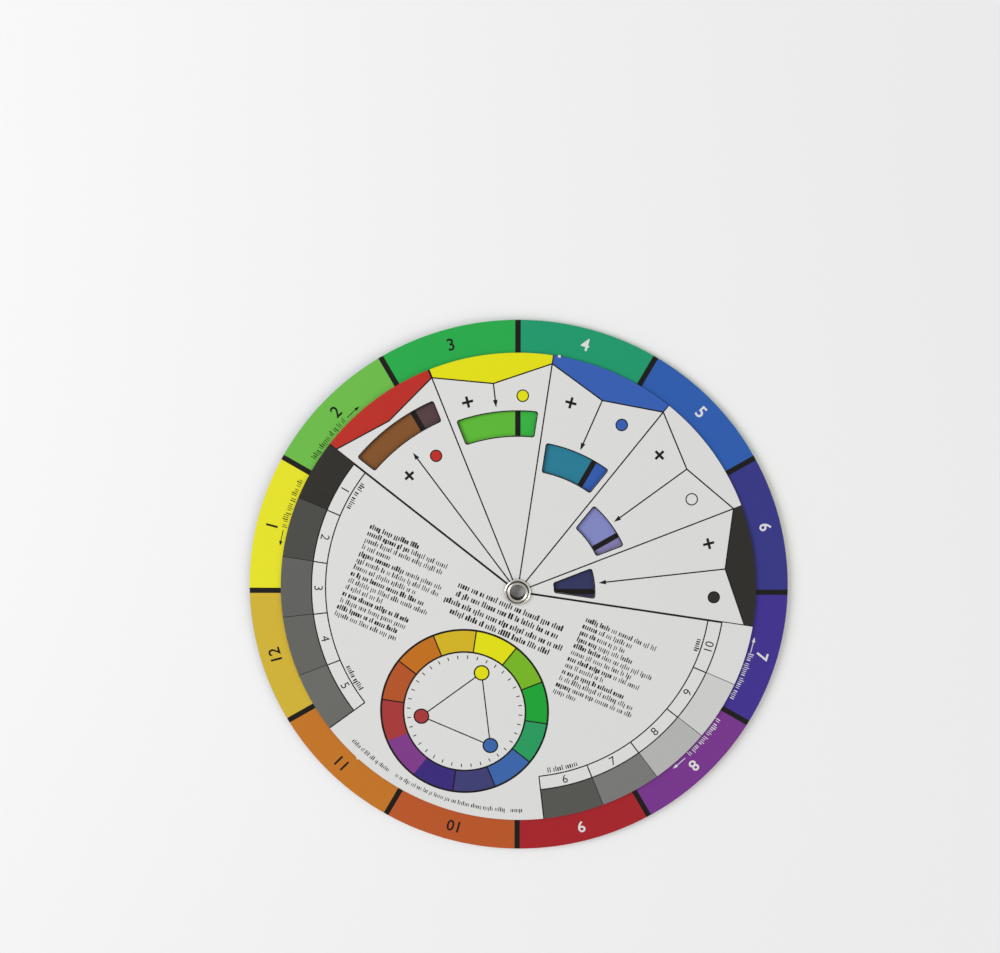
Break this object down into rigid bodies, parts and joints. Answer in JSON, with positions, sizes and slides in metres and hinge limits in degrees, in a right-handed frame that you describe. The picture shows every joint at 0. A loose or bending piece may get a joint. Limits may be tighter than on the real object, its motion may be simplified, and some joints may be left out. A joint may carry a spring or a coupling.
{
  "type": "color mixing wheel",
  "caption": "Flat card colour wheel with a windowed dial on its front and a smaller plain dial on its back, turning on a metal eyelet to show what mixed colours give.",
  "frame": {"origin": "on the eyelet's axis, at the underside of its rear flange, which the wheel rests on", "axes": "+Z out of the front face along the eyelet's axis, +Y up and +X right as the picture shows the front face"},
  "size_m": [0.13, 0.13, 0.0033],
  "materials": {
    "outer_wheel": "coated board printed with twelve hues, satin",
    "front_dial": "coated white board with colour and black print, satin",
    "rear_dial": "coated white board with black print, satin",
    "eyelet": "warm nickel plate over pressed brass, polished",
    "eyelet_washer": "warm nickel plate over pressed brass, polished"
  },
  "bodies": {
    "wheel": {"outer_wheel": "outer_wheel", "eyelet": "eyelet", "eyelet_washer": "eyelet_washer"},
    "front_dial": {"front_dial": "front_dial"},
    "rear_dial": {"rear_dial": "rear_dial"}
  },
  "joints": [
    {"name": "front_dial_turn", "type": "hinge", "parent": "wheel", "child": "front_dial", "pos_m": [0, 0, 0.00213], "axis": [0, 0, 1], "continuous": true},
    {"name": "rear_dial_turn", "type": "hinge", "parent": "wheel", "child": "rear_dial", "pos_m": [0, 0, 0.00072], "axis": [0, 0, 1], "continuous": true}
  ]
}
